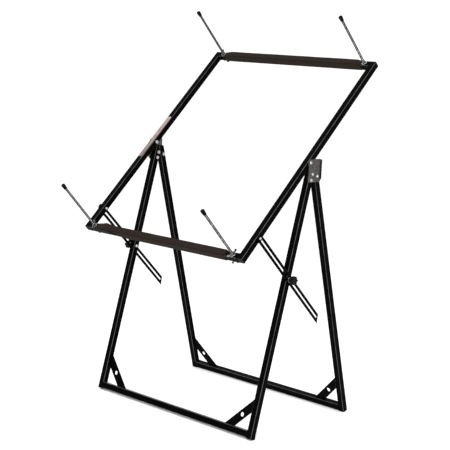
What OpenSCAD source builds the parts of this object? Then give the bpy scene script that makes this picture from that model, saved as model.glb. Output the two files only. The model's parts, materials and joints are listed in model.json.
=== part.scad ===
// Tilting sheet stand: a padded cradle of square tube on a folding A-frame trestle

/* [Tube] */
// Outer width of the square steel tube
tube_w = 25; // [22:0.5:26]
// Wall thickness of the square tube
tube_wall = 1.5; // [1.2:0.1:2.5]
// Outer corner radius of the square tube
tube_corner_r = 2; // [1.6:0.1:3]

/* [Trestle] */
// Overall width of the trestle across its legs
trestle_w = 856; // [700:1:1000]
// Height at which the centre lines of the legs meet
apex_h = 1024.8; // [1022:0.1:1028]
// Horizontal reach of the front leg, from the apex to the floor rail
front_reach = 268.8; // [260:0.1:275]
// Horizontal reach of the rear leg, from the apex to the floor rail
rear_reach = 281; // [275:0.1:300]
// Height of the cut tops of the legs
leg_top_h = 1004; // [1000:0.5:1004]
// Height of the rear legs' pivot bolts
rear_pivot_h = 967.8; // [962:0.1:970]
// Distance of the floor rails from the cut feet of the legs
rail_rise = 2.5; // [0:0.5:10]

/* [Cradle] */
// Overall length of the cradle along its side rails
cradle_l = 1010; // [900:1:1050]
// Tilt of the cradle above level
tilt_deg = 44.3; // [40:0.1:48]
// Distance of the cradle pivot in front of the leg apex
pivot_front = 26; // [24:0.5:30]
// Height of the cradle pivot
pivot_h = 1019.8; // [1018:0.1:1024]
// Distance of the cradle's middle behind its pivot, along the side rails
pivot_offset = 22.5; // [0:0.5:40]
// Length of each padding sleeve
pad_l = 696; // [500:1:700]
// Thickness of the padding on the upper faces of the rails
pad_t = 7; // [4:0.5:10]

/* [Stays] */
// Distance between the cradle pivot and each stay pivot, along the side rail
stay_arm = 372; // [365:1:380]
// Height of the clamp bolts in the front legs
clamp_h = 588.8; // [580:0.1:600]
// Width of the slotted stays
stay_w = 28; // [22:0.5:28]
// Thickness of the slotted stays
stay_t = 4; // [3:0.5:5]
// Width of the slot in the stays
slot_w = 7.5; // [6.6:0.1:8]
// Length of the stays beyond their pivots, on the centre line
stay_l = 494; // [490:1:520]

/* [Corner rods] */
// Diameter of the threaded rods
rod_d = 10; // [8:1:10]
// Height of the rod tips above the rails
rod_h = 241.5; // [150:0.5:300]
// Length of rod below the rails
rod_below = 18; // [16:0.5:60]
// Distance of the rods from the centre lines of the side rails
rod_inset = 38; // [36:1:60]

/* [Gussets] */
// Length of tube that each gusset spans, from the inner corner
gusset_leg = 124; // [110:1:150]
// Width of the gusset bar
gusset_w = 34; // [28:1:40]
// Thickness of the gusset bar
gusset_t = 4; // [3:0.5:6]
// Diameter of the gusset hole
gusset_hole_d = 17; // [8:0.5:18]

/* [Hidden] */

curve_fn = 48;
// Reach of the cutting blocks
far = 120;
left = -1;
right = 1;
front = -1;
back = 1;

// Colours
black = [0.08, 0.08, 0.09];
zinc = [0.72, 0.72, 0.7];
brown = [0.25, 0.2, 0.17];
rubber = [0.12, 0.12, 0.12];
paper = [0.86, 0.78, 0.72];

// Clearances: across the moving tubes, beside turning nuts, round shafts and at the spread stop
side_gap = 0.5;
turn_gap = 0.3;
shaft_play = 0.05;
stop_gap = 0.6;

half_tube = tube_w / 2;
bore_w = tube_w - 2 * tube_wall;
fixed_outer_x = trestle_w / 2;
fixed_x = fixed_outer_x - half_tube;
fixed_inner_x = fixed_outer_x - tube_w;
moving_outer_x = fixed_outer_x - side_gap;
moving_x = moving_outer_x - half_tube;
moving_inner_x = moving_outer_x - tube_w;

// The legs' bottom edges touch the floor, and the floor rails lie in the planes of their legs
function foot_h(lean) = half_tube * (cos(lean) + sin(lean));
function lean_of(reach, h) = atan(reach / (apex_h - h));
front_lean = lean_of(front_reach, foot_h(lean_of(front_reach, half_tube)));
rear_lean = lean_of(rear_reach, foot_h(lean_of(rear_reach, half_tube)));
front_leg_l = front_reach / sin(front_lean);
rear_leg_l = rear_reach / sin(rear_lean);

// Points in the side view are [y, z], before the shift to the origin
front_foot = [-front_reach, foot_h(front_lean)];
rear_foot = [rear_reach, foot_h(rear_lean)];
function on_front_axis(h) = [-(apex_h - h) * tan(front_lean), h];
function on_rear_axis(h) = [(apex_h - h) * tan(rear_lean), h];
upper_bolt_drop = 48;
lower_bolt_drop = 70;
upper_bolt = on_front_axis(apex_h - upper_bolt_drop);
lower_bolt = on_front_axis(apex_h - lower_bolt_drop);
clamp = on_front_axis(clamp_h);
rear_pivot = on_rear_axis(rear_pivot_h);
pivot = [-pivot_front, pivot_h];
rail_dir = [cos(tilt_deg), sin(tilt_deg)];
rail_normal = [-sin(tilt_deg), cos(tilt_deg)];
cradle_mid = pivot + pivot_offset * rail_dir;
stay_pivot = pivot - stay_arm * rail_dir;
stay_angle = atan2(clamp[1] - stay_pivot[1], clamp[0] - stay_pivot[0]);

// Plastic plugs
plug_t = 2;
plug_stem_l = 14;
plug_stem_w = bore_w - 0.2;
leg_plug_t = 3;

// Cradle
side_rail_l = cradle_l - 2 * plug_t;
end_u = cradle_l / 2 - half_tube;
rod_x = moving_x - rod_inset;
pad_side_t = 2.5;
label_l = 228;
label_w = 20;
label_t = 0.4;
label_u = -4;

// Hinge plates
plate_t = 3;
plate_front = -38;
plate_back = 35.5;
plate_bottom = 945.8;
plate_top = 1032.6;
plate_low_r = 10;
plate_front_r = 14;
plate_back_r = 3;
flange_out = 6.5;
front_flange_low = 8;
front_flange_high = 24;
back_flange_low = 10;
back_flange_high = 3;

// Bolts and nuts
m8_r = 4;
m6_r = 3;
head_r = 6.3;
head_h = 4.5;
nut_r = 6.5;
nut_h = 6.5;
bolt_end = 1.5;
small_head_r = 5.2;
small_head_h = 3.6;
small_nut_h = 5;
washer_r = 10.5;
washer_t = 2;
spacer_r = 8;
stay_gap = 2.5;

// Stays
stay_in_x = moving_outer_x + stay_gap;
stay_out_x = stay_in_x + stay_t;
slot_start = 10;
slot_end_margin = 6;
stay_mitre = 37;

// Rod tips
rod_r = rod_d / 2;
tip_l = 23;
tip_r = 8;
tip_neck_r = 6.4;
tip_edge_r = 2.5;
tip_socket_l = 15;

// Wing nuts
hub_r = 7.5;
hub_top_r = 6.5;
hub_h = 10;
wing_span = 44;
wing_t = 3;
wing_top = 12;
ear_r = 4.5;
wing_root = 6;
// Turns of the wing nuts at the front and back corners, on the left and then on the right
upper_turns = [[120, 120], [65, 140]];
lower_turns = [[0, 0], [40, 0]];
function turn_at(turns, side, end) = turns[side == left ? 0 : 1][end == front ? 0 : 1];

// Knobs
knob_h = 20;
knob_lobes = 6;
lobe_r = 4.6;
lobe_ring_r = 12.6;
collar_r = 9;
collar_h = 5.2;
stud_flange_r = 11;
stud_flange_t = 1.5;
stud_depth = 12;
knob_bore_r = m6_r + shaft_play;

// The front rods' tips and the back rods' lower ends are the extremes in Y
tip_edge = cradle_mid - end_u * rail_dir + (half_tube + rod_h - tip_edge_r) * rail_normal;
low_y = tip_edge[0] - (tip_r - tip_edge_r) * rail_dir[0] - tip_edge_r;
rod_end = cradle_mid + end_u * rail_dir - (half_tube + rod_below) * rail_normal;
high_y = rod_end[0] + rod_r * rail_dir[0];
shift_y = -(low_y + high_y) / 2;

// Placing
module centred() translate([0, shift_y, 0]) children();
module at_point(p) translate([0, p[0], p[1]]) children();
// Local Y runs back along the side rails and local Z is the cradle's upper normal
module on_cradle() centred() at_point(cradle_mid) rotate([tilt_deg, 0, 0]) children();
// Local Z runs up the legs from the middle of the floor rail
module on_front() centred() at_point(front_foot) rotate([-front_lean, 0, 0]) children();
module on_rear() centred() at_point(rear_foot) rotate([rear_lean, 0, 0]) children();
// Local X runs along the stay from its pivot and local Z points out to the side
module on_stay() centred() at_point(stay_pivot) rotate([stay_angle, 0, 0]) rotate([90, 0, 90]) children();
module mirrored(side) mirror([side == left ? 1 : 0, 0, 0]) children();
module both_sides() for (side = [left, right]) mirrored(side) children();
module rod(r, l) cylinder(r = r, h = l, $fn = curve_fn);
module ring(outer, inner, l) difference() {
  rod(outer, l);
  translate([0, 0, -1]) rod(inner, l + 2);
}
// A round bar along X between two X values, through a point of the side view
module cross_bar(p, r, x0, x1)
  centred() at_point(p) translate([x0, 0, 0]) rotate([0, 90, 0]) rod(r, x1 - x0);
module cross_ring(p, outer, inner, x0, x1)
  centred() at_point(p) translate([x0, 0, 0]) rotate([0, 90, 0]) ring(outer, inner, x1 - x0);
// A domed bolt head that stands on an X value and points outwards
module cross_head(p, r, h, x) centred() at_point(p) translate([x, 0, 0]) rotate([0, 90, 0]) dome(r, h);
module dome(r, h) {
  ball_r = (r * r + h * h) / (2 * h);
  intersection() {
    rod(r, h);
    translate([0, 0, h - ball_r]) sphere(r = ball_r, $fn = curve_fn);
  }
}

// Square tube with rounded edges, along Z
module tube_block(l) {
  flat = tube_w - 2 * tube_corner_r;
  translate([-half_tube, -flat / 2, 0]) cube([tube_w, flat, l]);
  translate([-flat / 2, -half_tube, 0]) cube([flat, tube_w, l]);
  for (sx = [-1, 1], sy = [-1, 1])
    translate([sx * flat / 2, sy * flat / 2, 0]) rod(tube_corner_r, l);
}
module tube(l) {
  difference() {
    tube_block(l);
    translate([-bore_w / 2, -bore_w / 2, -1]) cube([bore_w, bore_w, l + 2]);
  }
}
module tube_along_x(l) translate([-l / 2, 0, 0]) rotate([0, 90, 0]) tube(l);
module tube_along_y(l) translate([0, -l / 2, 0]) rotate([-90, 0, 0]) tube(l);

// Trestle tubes
module above_height(h) centred() translate([-far, -far, h]) cube([2 * far + trestle_w, 2 * far, far]);
module behind_rear_face()
  on_rear() translate([0, -half_tube - stop_gap, rear_leg_l - far]) cube([trestle_w, far, 2 * far]);
module front_leg(side) color(black) mirrored(side) {
  difference() {
    on_front() translate([fixed_x, 0, -half_tube]) tube(front_leg_l + tube_w);
    above_height(leg_top_h);
    behind_rear_face();
    cross_bar(upper_bolt, m8_r + shaft_play, fixed_inner_x - 1, fixed_outer_x + 1);
    cross_bar(lower_bolt, m8_r + shaft_play, fixed_inner_x - 1, fixed_outer_x + 1);
    cross_bar(clamp, m6_r + shaft_play, fixed_inner_x - 1, fixed_outer_x + 1);
  }
}
module rear_leg(side) color(black) mirrored(side) {
  difference() {
    on_rear() translate([moving_x, 0, -half_tube]) tube(rear_leg_l + tube_w);
    above_height(leg_top_h - leg_plug_t);
    cross_bar(rear_pivot, m8_r + shaft_play, moving_inner_x - 1, moving_outer_x + 1);
  }
}
module at_rail() translate([0, 0, rail_rise]) children();
module front_floor_rail() color(black) on_front() at_rail() tube_along_x(2 * fixed_inner_x);
module rear_floor_rail() color(black) on_rear() at_rail() tube_along_x(2 * moving_inner_x);

// Corner gusset: a flat bar across the corner, trimmed to the tubes, with one round hole
module gusset(inner_x, side) {
  inner_leg = gusset_leg - gusset_w * sqrt(2);
  mid = (gusset_leg + inner_leg) / 4;
  mirrored(side) translate([inner_x, gusset_t / 2, half_tube]) rotate([90, 0, 0]) difference() {
    linear_extrude(gusset_t)
      polygon([[-gusset_leg, 0], [-inner_leg, 0], [0, inner_leg], [0, gusset_leg]]);
    translate([-mid, mid, -1]) rod(gusset_hole_d / 2, gusset_t + 2);
  }
}
module front_gusset(side) color(black) on_front() at_rail() gusset(fixed_inner_x, side);
module rear_gusset(side) color(black) on_rear() at_rail() gusset(moving_inner_x, side);

// Plastic plugs
module plug_stem(l) translate([-plug_stem_w / 2, -plug_stem_w / 2, 0]) cube([plug_stem_w, plug_stem_w, l]);
module rear_leg_plugs() color(rubber) both_sides() {
  difference() {
    on_rear() translate([moving_x, 0, rear_leg_l - far / 2]) tube_block(far);
    above_height(leg_top_h);
    centred() translate([-far, -far, leg_top_h - leg_plug_t - far])
      cube([2 * far + trestle_w, 2 * far, far]);
  }
  intersection() {
    on_rear() translate([moving_x, 0, rear_leg_l - far / 2]) plug_stem(far);
    centred() translate([0, -far, leg_top_h - leg_plug_t - plug_stem_l])
      cube([trestle_w, 2 * far, plug_stem_l]);
  }
}
module rail_plug() {
  tube_block(plug_t);
  translate([0, 0, -plug_stem_l]) plug_stem(plug_stem_l + 1);
}
module rail_plugs() color(rubber) on_cradle()
  for (side = [left, right], end = [front, back])
    translate([side * moving_x, end * side_rail_l / 2, 0]) rotate([-90 * end, 0, 0]) rail_plug();

// Hinge plates: upright channels on the outer faces of the front legs
module corner_waste(r) difference() {
  translate([-1, -1]) square(r + 1);
  translate([r, r]) circle(r = r, $fn = curve_fn);
}
plate_corners = [
  [plate_front, plate_bottom, 0, plate_low_r], [plate_back, plate_bottom, 90, plate_low_r],
  [plate_back, plate_top, 180, plate_back_r], [plate_front, plate_top, 270, plate_front_r]
];
module plate_outline() difference() {
  translate([plate_front, plate_bottom]) square([plate_back - plate_front, plate_top - plate_bottom]);
  for (c = plate_corners) translate([c[0], c[1]]) rotate(c[2]) corner_waste(c[3]);
}
module flange(y, low, high) translate([fixed_outer_x, y, low]) cube([flange_out, plate_t, high - low]);
module hinge_plate(side) color(zinc) mirrored(side) difference() {
  centred() {
    translate([fixed_outer_x, 0, 0]) rotate([90, 0, 90]) linear_extrude(plate_t) plate_outline();
    flange(plate_front, plate_bottom + front_flange_low, plate_top - front_flange_high);
    flange(plate_back - plate_t, plate_bottom + back_flange_low, plate_top - back_flange_high);
  }
  for (p = [pivot, upper_bolt, lower_bolt, rear_pivot])
    cross_bar(p, m8_r + shaft_play, fixed_outer_x - 1, fixed_outer_x + plate_t + 1);
}

// Hinge bolts: domed heads outside the plates and nuts inside the tubes
plate_face_x = fixed_outer_x + plate_t;
fixed_nut_x = fixed_inner_x - nut_h;
turning_nut_x = moving_inner_x - side_gap - nut_h;
module hinge_bolt(p, end_x) {
  cross_bar(p, m8_r, end_x - bolt_end, plate_face_x);
  cross_head(p, head_r, head_h, plate_face_x);
}
module cradle_pivot_bolts() color(zinc) both_sides() hinge_bolt(pivot, turning_nut_x);
module rear_pivot_bolts() color(zinc) both_sides() hinge_bolt(rear_pivot, turning_nut_x);
module front_leg_bolts() color(zinc) both_sides()
  for (p = [upper_bolt, lower_bolt]) hinge_bolt(p, fixed_nut_x);
module hinge_nuts() color(zinc) both_sides() {
  for (p = [upper_bolt, lower_bolt]) cross_ring(p, nut_r, m8_r + shaft_play, fixed_nut_x, fixed_inner_x);
  for (p = [pivot, rear_pivot])
    cross_ring(p, nut_r, m8_r + shaft_play, turning_nut_x, turning_nut_x + nut_h);
}
module clamp_bolts() color(zinc) both_sides() {
  cross_bar(clamp, m6_r, fixed_inner_x - 1, fixed_outer_x);
  centred() at_point(clamp) translate([fixed_inner_x, 0, 0]) rotate([0, -90, 0]) dome(head_r, head_h);
}

// Cradle tubes, local to the cradle's middle plane
module side_rail(side) color(black) mirrored(side) difference() {
  on_cradle() translate([moving_x, 0, 0]) tube_along_y(side_rail_l);
  cross_bar(pivot, m8_r + shaft_play, moving_inner_x - 1, moving_outer_x + 1);
  cross_bar(stay_pivot, m6_r + shaft_play, moving_inner_x - 1, moving_outer_x + 1);
}
module end_rail(end) color(black) on_cradle() translate([0, end * end_u, 0]) difference() {
  tube_along_x(2 * moving_inner_x);
  for (side = [left, right])
    translate([side * rod_x, 0, -tube_w]) rod(rod_r + shaft_play, 2 * tube_w);
}
// Padding sleeve: thick on the rail's upper face and thin on the other three
module pad(end) color(brown) on_cradle() translate([-pad_l / 2, end * end_u - half_tube, -half_tube])
  difference() {
    translate([0, -pad_side_t, -pad_side_t])
      cube([pad_l, tube_w + 2 * pad_side_t, tube_w + pad_side_t + pad_t]);
    translate([-1, 0, 0]) cube([pad_l + 2, tube_w, tube_w]);
  }
module blank_label() color(paper) on_cradle()
  translate([-moving_x - label_w / 2, label_u - label_l / 2, half_tube]) cube([label_w, label_l, label_t]);
module rod_washers() color(zinc) on_cradle()
  for (side = [left, right], end = [front, back], z = [half_tube, -half_tube - washer_t])
    translate([side * rod_x, end * end_u, z]) ring(washer_r, rod_r + turn_gap, washer_t);

// Stay pivots
stay_head_x = stay_out_x + turn_gap;
module stay_pivot_bolts() color(zinc) both_sides() {
  cross_bar(stay_pivot, m6_r, moving_inner_x - small_nut_h - bolt_end, stay_head_x);
  cross_head(stay_pivot, small_head_r, small_head_h, stay_head_x);
}
module stay_pivot_nuts() color(zinc) both_sides()
  cross_ring(stay_pivot, small_head_r, m6_r + shaft_play, moving_inner_x - small_nut_h, moving_inner_x);
module stay_spacers() color(zinc) both_sides()
  cross_ring(stay_pivot, spacer_r, m6_r + shaft_play, moving_outer_x, stay_in_x - turn_gap);

// Slotted stay with a round pivot end and a mitred lower end
module slot_block(x0, x1) {
  r = slot_w / 2;
  translate([x0 + r, 0, -1]) rod(r, stay_t + 2);
  translate([x1 - r, 0, -1]) rod(r, stay_t + 2);
  translate([x0 + r, -r, -1]) cube([x1 - x0 - slot_w, slot_w, stay_t + 2]);
}
module stay(side) color(black) mirrored(side) on_stay() translate([0, 0, stay_in_x]) difference() {
  union() {
    rod(stay_w / 2, stay_t);
    translate([0, -stay_w / 2, 0]) cube([stay_l + stay_w, stay_w, stay_t]);
  }
  translate([stay_l, 0, -1]) rotate([0, 0, stay_mitre]) translate([0, -far, 0])
    cube([far, 2 * far, stay_t + 2]);
  translate([0, 0, -1]) rod(m6_r + shaft_play, stay_t + 2);
  slot_block(slot_start, stay_l - slot_end_margin);
}

// Clamp knobs, clear of the stays so that the stays can swing past them
knob_in_x = stay_out_x + turn_gap;
knob_base_x = knob_in_x + stud_flange_t;
knob_head_x = knob_base_x + collar_h;
module on_clamp(x) centred() at_point(clamp) translate([x, 0, 0]) rotate([0, 90, 0]) children();
module knob(side) color(rubber) mirrored(side) difference() {
  union() {
    on_clamp(knob_base_x) rod(collar_r, collar_h);
    on_clamp(knob_head_x) {
      rod(lobe_ring_r, knob_h);
      for (i = [0:knob_lobes - 1])
        rotate([0, 0, i * 360 / knob_lobes]) translate([lobe_ring_r, 0, 0]) rod(lobe_r, knob_h);
    }
  }
  on_clamp(knob_base_x - 1) rod(knob_bore_r, collar_h + stud_depth + 1);
}
module knob_stud(side) color(zinc) mirrored(side) {
  on_clamp(knob_in_x) rod(stud_flange_r, stud_flange_t);
  on_clamp(knob_base_x) rod(m6_r, collar_h + stud_depth);
}

// Corner rods with rubber tips
module at_corner(side, end) on_cradle() translate([side * rod_x, end * end_u, 0]) children();
rod_low = -half_tube - rod_below;
rod_top = half_tube + rod_h - tip_l + tip_socket_l;
module corner_rod(side, end) color(zinc) at_corner(side, end)
  translate([0, 0, rod_low]) rod(rod_r, rod_top - rod_low);
module tip_outline() {
  difference() {
    union() {
      polygon([[0, 0], [tip_neck_r, 0], [tip_r, tip_socket_l], [tip_r, tip_l - tip_edge_r],
        [tip_r - tip_edge_r, tip_l - tip_edge_r], [tip_r - tip_edge_r, tip_l], [0, tip_l]]);
      translate([tip_r - tip_edge_r, tip_l - tip_edge_r]) circle(r = tip_edge_r, $fn = curve_fn);
    }
    square([rod_r + shaft_play, tip_socket_l]);
    translate([-far, -far]) square([far, 2 * far]);
  }
}
module tip(side, end) color(rubber) at_corner(side, end)
  translate([0, 0, half_tube + rod_h - tip_l]) rotate_extrude($fn = curve_fn) tip_outline();

// Wing nut standing on Z = 0
module wing() {
  ear_x = wing_span / 2 - ear_r;
  ear_z = wing_top - ear_r;
  rotate([90, 0, 0]) translate([0, 0, -wing_t / 2]) {
    linear_extrude(wing_t) polygon([
      [wing_root, 0], [hub_r, 0], [ear_x + ear_r, ear_z], [ear_x - ear_r, ear_z], [wing_root, hub_h]
    ]);
    translate([ear_x, ear_z, 0]) rod(ear_r, wing_t);
  }
}
module wing_nut() difference() {
  union() {
    cylinder(r1 = hub_r, r2 = hub_top_r, h = hub_h, $fn = curve_fn);
    for (a = [0, 180]) rotate([0, 0, a]) wing();
  }
  translate([0, 0, -1]) rod(rod_r + shaft_play, hub_h + 2);
}
module turned_nut(turn)
  translate([0, 0, half_tube + washer_t + turn_gap]) rotate([0, 0, turn]) wing_nut();
module upper_nut(side, end) color(zinc) at_corner(side, end) turned_nut(turn_at(upper_turns, side, end));
module lower_nut(side, end) color(zinc) at_corner(side, end) mirror([0, 0, 1])
  turned_nut(turn_at(lower_turns, side, end));

front_leg(left);  // front_left_leg
front_leg(right);  // front_right_leg
front_floor_rail();
front_gusset(left);  // front_left_gusset
front_gusset(right);  // front_right_gusset
hinge_plate(left);  // left_hinge_plate
hinge_plate(right);  // right_hinge_plate
cradle_pivot_bolts();
front_leg_bolts();
rear_pivot_bolts();
hinge_nuts();
clamp_bolts();
rear_leg(left);  // rear_left_leg
rear_leg(right);  // rear_right_leg
rear_floor_rail();
rear_gusset(left);  // rear_left_gusset
rear_gusset(right);  // rear_right_gusset
rear_leg_plugs();
side_rail(left);  // left_side_rail
side_rail(right);  // right_side_rail
end_rail(front);  // front_rail
end_rail(back);  // back_rail
pad(front);  // front_pad
pad(back);  // back_pad
blank_label();
rail_plugs();
rod_washers();
stay_pivot_bolts();
stay_pivot_nuts();
stay_spacers();
stay(left);  // left_stay
stay(right);  // right_stay
knob(left);  // left_knob
knob(right);  // right_knob
knob_stud(left);  // left_knob_stud
knob_stud(right);  // right_knob_stud
corner_rod(left, front);  // front_left_rod
corner_rod(right, front);  // front_right_rod
corner_rod(left, back);  // back_left_rod
corner_rod(right, back);  // back_right_rod
tip(left, front);  // front_left_tip
tip(right, front);  // front_right_tip
tip(left, back);  // back_left_tip
tip(right, back);  // back_right_tip
upper_nut(left, front);  // front_left_wing_nut
upper_nut(right, front);  // front_right_wing_nut
upper_nut(left, back);  // back_left_wing_nut
upper_nut(right, back);  // back_right_wing_nut
lower_nut(left, front);  // front_left_lower_nut
lower_nut(right, front);  // front_right_lower_nut
lower_nut(left, back);  // back_left_lower_nut
lower_nut(right, back);  // back_right_lower_nut
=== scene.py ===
"""Looks for the tilting sheet stand: a padded tube cradle on a folding trestle, in metres."""
import json
import math

import bmesh
import bpy
from mathutils import Matrix, Vector, noise


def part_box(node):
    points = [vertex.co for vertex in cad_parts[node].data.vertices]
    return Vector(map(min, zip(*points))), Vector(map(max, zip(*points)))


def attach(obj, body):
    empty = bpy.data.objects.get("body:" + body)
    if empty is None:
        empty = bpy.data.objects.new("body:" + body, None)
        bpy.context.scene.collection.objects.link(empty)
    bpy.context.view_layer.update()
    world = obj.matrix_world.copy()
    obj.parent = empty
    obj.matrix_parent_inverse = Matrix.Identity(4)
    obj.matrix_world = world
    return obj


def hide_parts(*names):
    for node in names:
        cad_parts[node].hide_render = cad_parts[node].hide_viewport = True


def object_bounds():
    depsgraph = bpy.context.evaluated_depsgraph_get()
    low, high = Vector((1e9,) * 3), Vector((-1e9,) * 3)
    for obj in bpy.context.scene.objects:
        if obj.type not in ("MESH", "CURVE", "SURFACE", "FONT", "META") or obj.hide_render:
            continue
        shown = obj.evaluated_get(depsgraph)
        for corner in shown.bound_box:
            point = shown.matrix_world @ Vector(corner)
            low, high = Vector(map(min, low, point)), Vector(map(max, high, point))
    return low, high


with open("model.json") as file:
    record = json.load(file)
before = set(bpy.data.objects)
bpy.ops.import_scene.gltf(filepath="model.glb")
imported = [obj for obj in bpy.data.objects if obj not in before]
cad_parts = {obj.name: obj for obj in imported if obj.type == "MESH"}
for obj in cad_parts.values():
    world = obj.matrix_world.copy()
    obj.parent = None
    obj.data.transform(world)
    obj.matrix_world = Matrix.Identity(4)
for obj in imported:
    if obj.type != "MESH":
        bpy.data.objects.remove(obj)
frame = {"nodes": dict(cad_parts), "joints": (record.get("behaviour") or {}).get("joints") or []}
cad_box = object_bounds()

MM = 0.001
X = Vector((1, 0, 0))
SIDES = {"left": -1, "right": 1}
ENDS = ("front", "back")
TUBE_HALF = 12.5 * MM
TUBE_R = 2 * MM

# ------------------------------------------------------------------ measures taken from the frame
joints = {j["name"]: j for j in frame["joints"]}


def joint_point(name):
    return Vector(joints[name]["pos_m"])


def span(node, origin, axis):
    """Lowest and highest place of a CAD node along an axis, counted from an origin."""
    along = [(v.co - origin).dot(axis) for v in frame["nodes"][node].data.vertices]
    return min(along), max(along)


def islands(node):
    """The separate solids of a CAD node, each as (lowest corner, highest corner)."""
    bm = bmesh.new()
    bm.from_mesh(frame["nodes"][node].data)
    bmesh.ops.remove_doubles(bm, verts=bm.verts, dist=0.001 * MM)
    found, seen = [], set()
    for start in bm.verts:
        if start in seen:
            continue
        group, todo = [], [start]
        seen.add(start)
        while todo:
            v = todo.pop()
            group.append(v.co.copy())
            for e in v.link_edges:
                w = e.other_vert(v)
                if w not in seen:
                    seen.add(w)
                    todo.append(w)
        low = Vector([min(c[i] for c in group) for i in range(3)])
        high = Vector([max(c[i] for c in group) for i in range(3)])
        found.append((low, high))
    bm.free()
    return found


tilt = joint_point("cradle_tilt")
normal = Vector(joints["front_left_rod_slide"]["axis"]).normalized()
along_rail = normal.cross(X).normalized()


def box_centre(node):
    low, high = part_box(node)
    return (low + high) / 2


def leg_line(foot, top):
    """The way up a leg in the side view, from its foot to its top."""
    return Vector((0, top.y - foot.y, top.z - foot.z)).normalized()


front_up = leg_line(box_centre("front_floor_rail"), joint_point("left_knob_turn"))
rear_up = leg_line(box_centre("rear_floor_rail"), joint_point("rear_fold"))


# ------------------------------------------------------------------ material helpers
class Shader:
    """A principled material whose nodes are made and joined by short calls."""

    def __init__(self, name, **sockets):
        self.material = bpy.data.materials.new(name)
        self.material.use_nodes = True
        self.tree = self.material.node_tree
        self.bsdf = self.tree.nodes["Principled BSDF"]
        coordinates = self.add("ShaderNodeTexCoord")
        self.where = coordinates.outputs["Object"]
        self.facing = coordinates.outputs["Normal"]
        for key, value in sockets.items():
            self.bsdf.inputs[key.replace("_", " ")].default_value = value

    def add(self, kind, **settings):
        n = self.tree.nodes.new(kind)
        for key, value in settings.items():
            setattr(n, key, value)
        return n

    def link(self, out, into):
        self.tree.links.new(out, into)

    def scaled(self, stretch):
        n = self.add("ShaderNodeMapping")
        n.inputs["Scale"].default_value = stretch
        self.link(self.where, n.inputs["Vector"])
        return n.outputs["Vector"]

    def noise(self, scale, detail=3.0, rough=0.55, stretch=None):
        n = self.add("ShaderNodeTexNoise")
        n.inputs["Scale"].default_value = scale
        n.inputs["Detail"].default_value = detail
        n.inputs["Roughness"].default_value = rough
        self.link(self.scaled(stretch) if stretch else self.where, n.inputs["Vector"])
        return n.outputs["Fac"]

    def cells(self, scale):
        n = self.add("ShaderNodeTexVoronoi")
        n.inputs["Scale"].default_value = scale
        self.link(self.where, n.inputs["Vector"])
        return n.outputs["Color"]

    def ramp(self, fac, stops):
        n = self.add("ShaderNodeValToRGB")
        ramp = n.color_ramp
        while len(ramp.elements) < len(stops):
            ramp.elements.new(0.5)
        for element, (place, colour) in zip(ramp.elements, stops):
            element.position = place
            element.color = (*colour, 1)
        self.link(fac, n.inputs["Fac"])
        return n.outputs["Color"]

    def grey(self, fac, low, high, start=0.0, end=1.0):
        n = self.add("ShaderNodeMapRange")
        for key, value in (("From Min", start), ("From Max", end), ("To Min", low), ("To Max", high)):
            n.inputs[key].default_value = value
        self.link(fac, n.inputs["Value"])
        return n.outputs["Result"]

    def mix(self, fac, a, b):
        n = self.add("ShaderNodeMix", data_type="RGBA")
        for value, socket in ((fac, n.inputs["Factor"]), (a, n.inputs["A"]), (b, n.inputs["B"])):
            self.put(value, socket)
        return n.outputs["Result"]

    def put(self, value, socket):
        if isinstance(value, bpy.types.NodeSocket):
            self.link(value, socket)
        elif isinstance(value, tuple):
            socket.default_value = (*value, 1)
        else:
            socket.default_value = value

    def math(self, kind, a, b):
        n = self.add("ShaderNodeMath", operation=kind)
        self.put(a, n.inputs[0])
        self.put(b, n.inputs[1])
        return n.outputs[0]

    def painted_light_corner_mask(self, face):
        """Mask for painted highlights and painted shade: 1 along a square tube's rounded corners, 0 on its
        flats. Face is the normal of one flat.
        """
        n = self.add("ShaderNodeVectorMath", operation="DOT_PRODUCT")
        self.link(self.facing, n.inputs[0])
        n.inputs[1].default_value = face
        share = self.math("MULTIPLY", n.outputs["Value"], n.outputs["Value"])
        both = self.math("MULTIPLY", share, self.math("SUBTRACT", 1.0, share))
        # Noise breaks the painted corner light into patches
        patchy = self.grey(self.noise(26, 5, 0.7), 0.35, 1.0, 0.35, 0.65)
        return self.math("MULTIPLY", self.grey(both, 0.0, 1.0, 0.1, 0.22), patchy)

    def rise(self, low, high):
        """0 at the height low, 1 at the height high."""
        n = self.add("ShaderNodeSeparateXYZ")
        self.link(self.where, n.inputs[0])
        return self.grey(n.outputs["Z"], 0.0, 1.0, low, high)

    def bump(self, height, strength, distance):
        n = self.add("ShaderNodeBump")
        n.inputs["Strength"].default_value = strength
        n.inputs["Distance"].default_value = distance
        self.link(height, n.inputs["Height"])
        old = self.bsdf.inputs["Normal"]
        if old.is_linked:
            self.link(old.links[0].from_socket, n.inputs["Normal"])
        self.link(n.outputs["Normal"], old)

    def colour(self, out):
        self.link(out, self.bsdf.inputs["Base Color"])

    def roughness(self, out):
        self.link(out, self.bsdf.inputs["Roughness"])


def gloss_paint(name, dark, light, low, high, face=None):
    """Black powder coat: orange peel, dust and scuffs, with painted highlight lines, a lighter colour along
    a tube's rounded corners.
    """
    s = Shader(name, IOR=1.45, Specular_IOR_Level=0.015)
    clouds = s.noise(9, 4)
    dust = s.noise(140, 5, 0.7)
    scuffs = s.ramp(s.noise(60, 6, 0.75, (1, 1, 0.35)), [(0.66, (0, 0, 0)), (0.74, (1, 1, 1))])
    base = s.ramp(clouds, [(0.3, dark), (0.7, light)])
    base = s.mix(s.math("MULTIPLY", scuffs, 0.3), base, (0.02, 0.0195, 0.019))
    if face is not None:
        # Painted highlight: the colour turns light grey along the rounded corners, where light would glint
        base = s.mix(s.painted_light_corner_mask(face), base, (0.15, 0.147, 0.142))
    s.colour(base)
    fine = s.grey(dust, low, high, 0.3, 0.75)
    s.roughness(s.math("ADD", fine, s.math("MULTIPLY", scuffs, 0.16)))
    s.bump(s.noise(900, 2), 0.12, 0.0002)
    s.bump(s.noise(70, 2), 0.08, 0.0006)
    return s.material


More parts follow.
